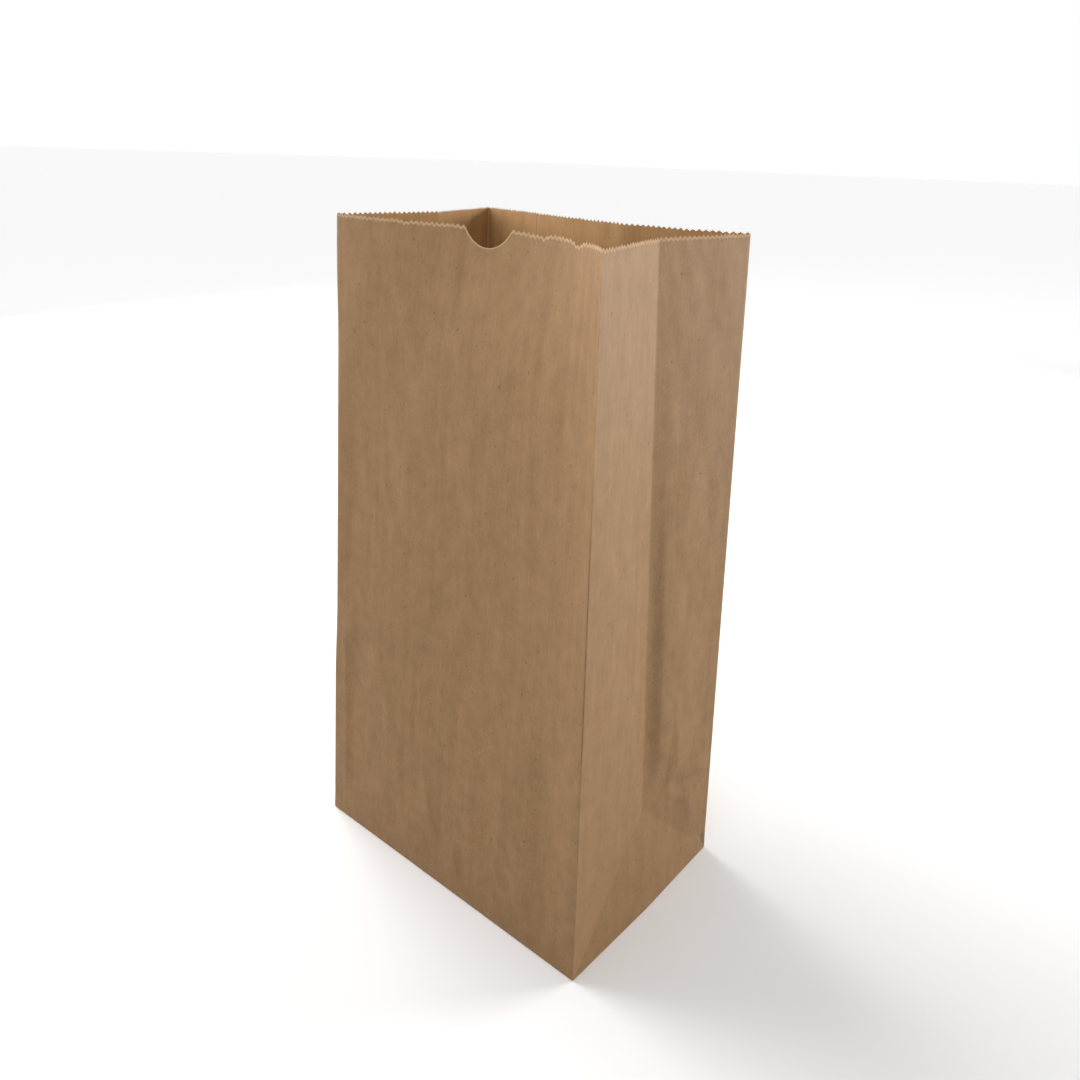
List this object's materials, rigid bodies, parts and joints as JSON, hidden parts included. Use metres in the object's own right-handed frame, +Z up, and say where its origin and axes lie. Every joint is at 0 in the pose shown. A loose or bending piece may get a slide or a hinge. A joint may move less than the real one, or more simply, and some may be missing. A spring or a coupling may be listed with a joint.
{
  "type": "paper lunch bag",
  "caption": "Brown kraft paper bag standing open, with side gussets, a square glued bottom, a saw-cut rim and a thumb notch in the front.",
  "frame": {"origin": "middle of the square bottom, on the surface that the bag stands on", "axes": "+Z up through the open mouth, X across the wide panels, and -Y out of the front panel with the thumb notch"},
  "size_m": [0.1574, 0.1188, 0.2794],
  "materials": {
    "kraft_paper": "matt unbleached kraft, slightly glazed outside"
  },
  "bodies": {
    "root": {"paper_bag": "kraft_paper"}
  },
  "joints": []
}
